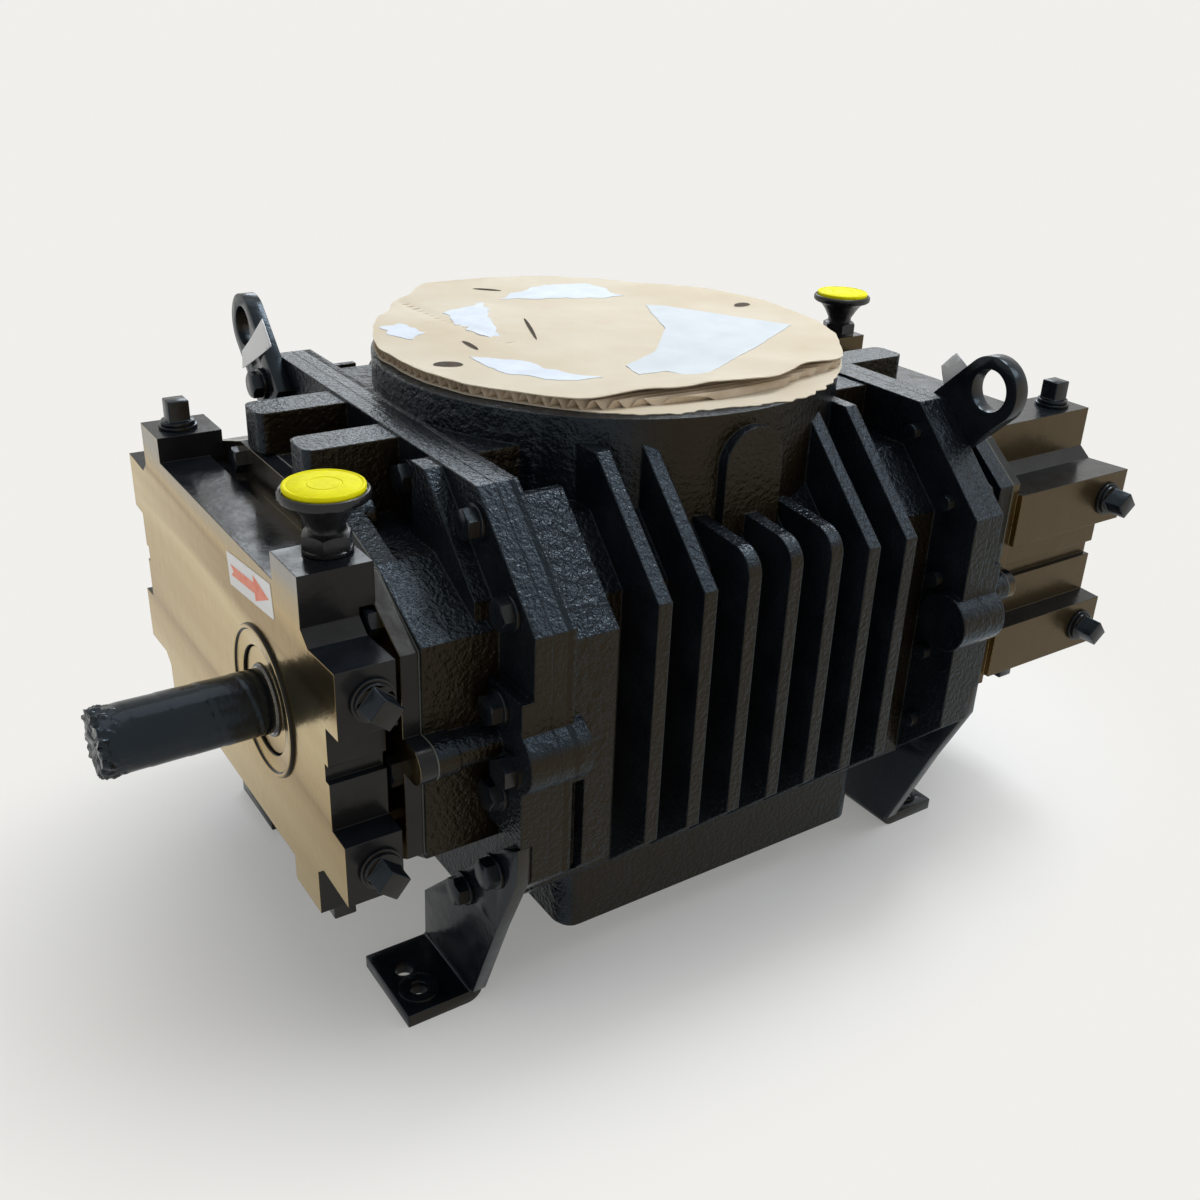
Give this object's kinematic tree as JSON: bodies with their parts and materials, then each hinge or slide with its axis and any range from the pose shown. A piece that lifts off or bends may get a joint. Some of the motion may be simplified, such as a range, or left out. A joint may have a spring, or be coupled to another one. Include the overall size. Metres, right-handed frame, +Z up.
{
  "type": "roots blower",
  "caption": "Three-lobe rotary blower stage with ribbed casing, top inlet neck, oil covers, taped shaft end, feet and lifting eyes; rotors turn in mesh.",
  "frame": {"origin": "centre of the four foot holes, in the plane under the feet", "axes": "+X along the rotor axes from the drive shaft end to the timing gears, +Z up; the camera of the picture stands on the side of -X and -Y"},
  "size_m": [0.7848, 0.478, 0.418],
  "materials": {
    "casting": "gloss black paint over cast iron",
    "machined_black": "gloss black paint over machined faces",
    "plate_black": "gloss black paint over steel plate",
    "bolt_black": "black painted bolt heads",
    "rotor_iron": "machined nodular iron",
    "steel": "turned and ground steel",
    "bearing_steel": "polished bearing steel",
    "cage_brass": "machined brass cage",
    "bushing_bronze": "bronze bushing",
    "seal_rubber": "dark brown rubber",
    "gasket_paper": "grey sealing sheet",
    "board": "brown corrugated board, torn face",
    "paper_white": "white printed paper",
    "filler_black": "black moulded plastic",
    "disc_yellow": "yellow moulded plastic"
  },
  "bodies": {
    "frame": {"casing": "casting", "drive_side_plate": "casting", "gear_side_plate": "casting", "drive_oil_cover": "machined_black", "gear_oil_cover": "machined_black", "drive_gasket": "gasket_paper", "gear_gasket": "gasket_paper", "seal_carrier": "machined_black", "lip_seal": "seal_rubber", "drive_end_outer_rings": "bearing_steel", "gear_end_outer_rings": "bearing_steel", "drive_end_retainers": "steel", "gear_end_retainers": "steel", "retainer_screws": "steel", "seal_bushings": "bushing_bronze", "piston_rings": "steel", "flange_bolts": "bolt_black", "drive_cover_bolts": "bolt_black", "gear_cover_bolts": "bolt_black", "foot_bolts": "bolt_black", "eye_bolts": "bolt_black", "jacking_screws": "bolt_black", "dowel_pins": "steel", "oil_plugs": "bolt_black", "plug_washers": "bolt_black", "filler_bodies": "filler_black", "filler_discs": "disc_yellow", "drive_near_foot": "plate_black", "drive_far_foot": "plate_black", "gear_near_foot": "plate_black", "gear_far_foot": "plate_black", "foot_washers": "bolt_black", "drive_lifting_eye": "plate_black", "gear_lifting_eye": "plate_black", "arrow_sticker": "paper_white", "eye_tags": "paper_white"},
    "drive_line": {"drive_rotor": "rotor_iron", "drive_shaft": "steel", "drive_timing_gear": "steel", "drive_gear_clamp": "steel", "gear_clamp_screw": "steel", "seal_sleeve": "steel", "drive_shaft_inner_rings": "bearing_steel", "drive_shaft_ring_carriers": "steel", "drive_shaft_lock_nut": "steel"},
    "driven_line": {"driven_rotor": "rotor_iron", "driven_shaft": "steel", "driven_timing_gear": "steel", "driven_gear_clamp": "steel", "driven_clamp_screw": "steel", "oil_slinger_disc": "steel", "driven_shaft_inner_rings": "bearing_steel", "driven_shaft_ring_carriers": "steel", "driven_shaft_lock_nut": "steel"},
    "drive_roller_cage": {"drive_shaft_rollers": "cage_brass"},
    "driven_roller_cage": {"driven_shaft_rollers": "cage_brass"},
    "drive_ball_cage": {"drive_shaft_balls": "cage_brass"},
    "driven_ball_cage": {"driven_shaft_balls": "cage_brass"},
    "loose_cover": {"transport_cover": "board"}
  },
  "joints": [
    {"name": "drive_rotor_spin", "type": "hinge", "parent": "frame", "child": "drive_line", "pos_m": [0, -0.076, 0.227], "axis": [1, 0, 0], "continuous": true},
    {"name": "driven_rotor_spin", "type": "hinge", "parent": "frame", "child": "driven_line", "pos_m": [0, 0.076, 0.227], "axis": [1, 0, 0], "continuous": true},
    {"name": "drive_roller_cage_spin", "type": "hinge", "parent": "frame", "child": "drive_roller_cage", "pos_m": [0, -0.076, 0.227], "axis": [1, 0, 0], "continuous": true},
    {"name": "driven_roller_cage_spin", "type": "hinge", "parent": "frame", "child": "driven_roller_cage", "pos_m": [0, 0.076, 0.227], "axis": [1, 0, 0], "continuous": true},
    {"name": "drive_ball_cage_spin", "type": "hinge", "parent": "frame", "child": "drive_ball_cage", "pos_m": [0, -0.076, 0.227], "axis": [1, 0, 0], "continuous": true},
    {"name": "driven_ball_cage_spin", "type": "hinge", "parent": "frame", "child": "driven_ball_cage", "pos_m": [0, 0.076, 0.227], "axis": [1, 0, 0], "continuous": true},
    {"name": "cover_lift", "type": "slide", "parent": "frame", "child": "loose_cover", "axis": [0, 0, 1], "range_m": [0, 0.12]}
  ],
  "couplings": [
    {"joint": "driven_rotor_spin", "follows": "drive_rotor_spin", "ratio": -1},
    {"joint": "drive_roller_cage_spin", "follows": "drive_rotor_spin", "ratio": 0.417},
    {"joint": "driven_roller_cage_spin", "follows": "drive_rotor_spin", "ratio": -0.417},
    {"joint": "drive_ball_cage_spin", "follows": "drive_rotor_spin", "ratio": 0.3931},
    {"joint": "driven_ball_cage_spin", "follows": "drive_rotor_spin", "ratio": -0.3931}
  ]
}
